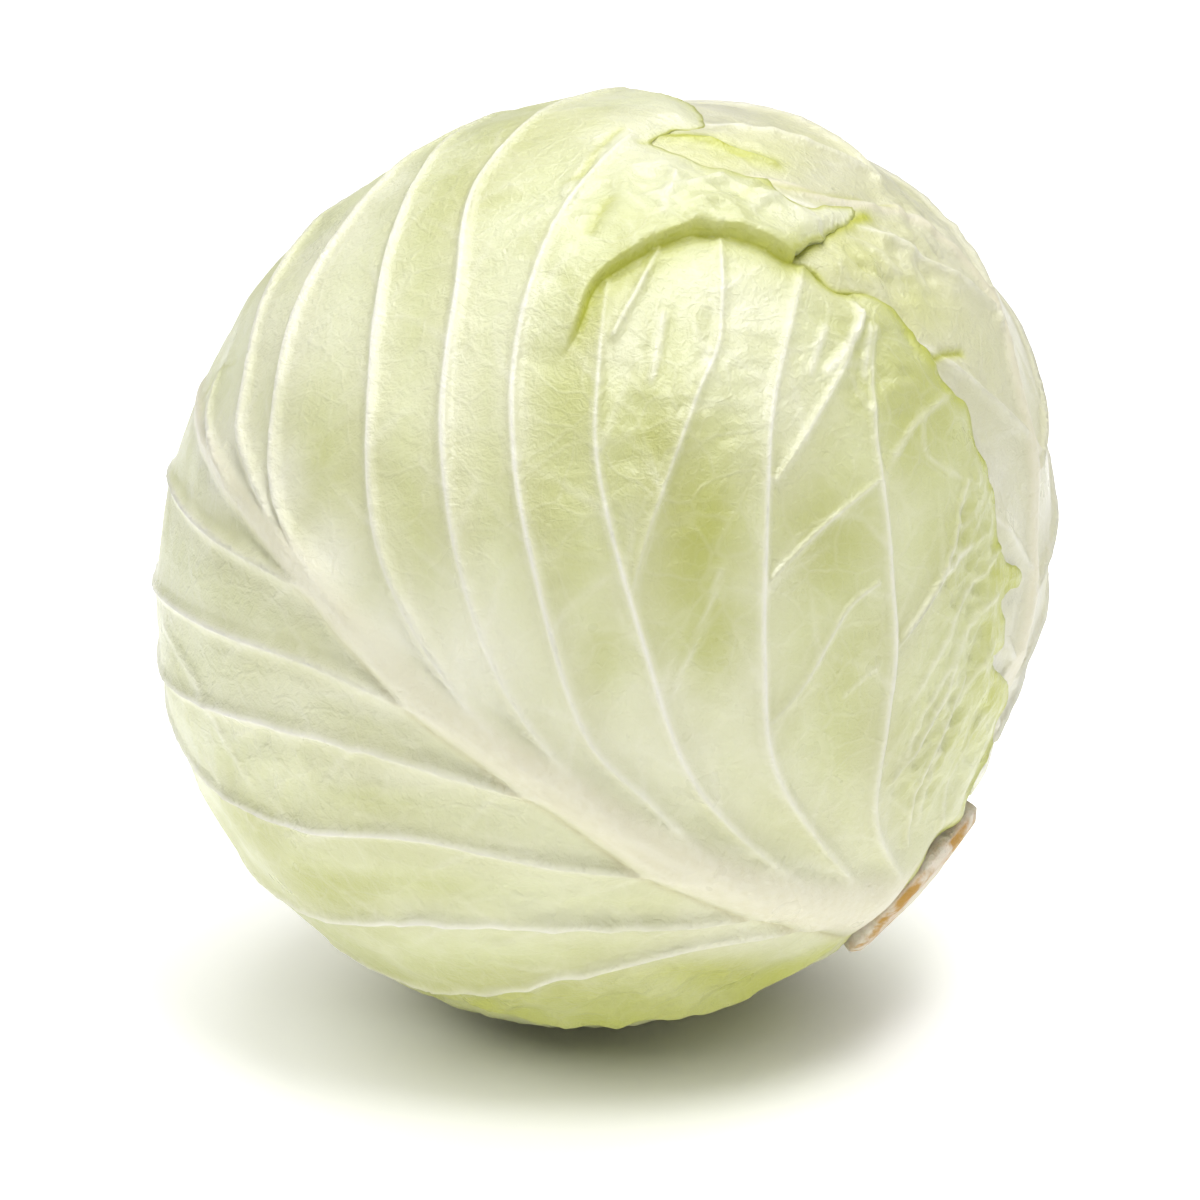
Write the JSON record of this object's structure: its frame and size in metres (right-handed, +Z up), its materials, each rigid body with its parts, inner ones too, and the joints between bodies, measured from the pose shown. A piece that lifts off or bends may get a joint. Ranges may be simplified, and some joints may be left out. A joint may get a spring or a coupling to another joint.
{
  "type": "cabbage head",
  "caption": "Round head of white cabbage lying on its side, with ribbed wrapper leaves folded over a tight heart and a short cut stalk.",
  "frame": {"origin": "on the surface that the head lies on, under the middle of its bounding box", "axes": "+Z up; the head lies on its side, its cut stalk points to +X and down, and its outermost leaf faces -Y"},
  "size_m": [0.1908, 0.2058, 0.1991],
  "materials": {
    "inner_leaves": "smooth, slightly waxy pale leaf",
    "cut_stalk": "dry cut face, pale with tan stains",
    "pale_leaf": "satin waxy leaf, near white, with broad ribs",
    "green_leaf": "satin waxy leaf, pale yellow-green with white veins"
  },
  "bodies": {
    "root": {"inner_head": "inner_leaves", "stalk": "cut_stalk", "leaf_crown": "pale_leaf", "leaf_lower": "green_leaf", "leaf_back": "green_leaf", "leaf_right": "pale_leaf", "leaf_front": "green_leaf"}
  },
  "joints": []
}
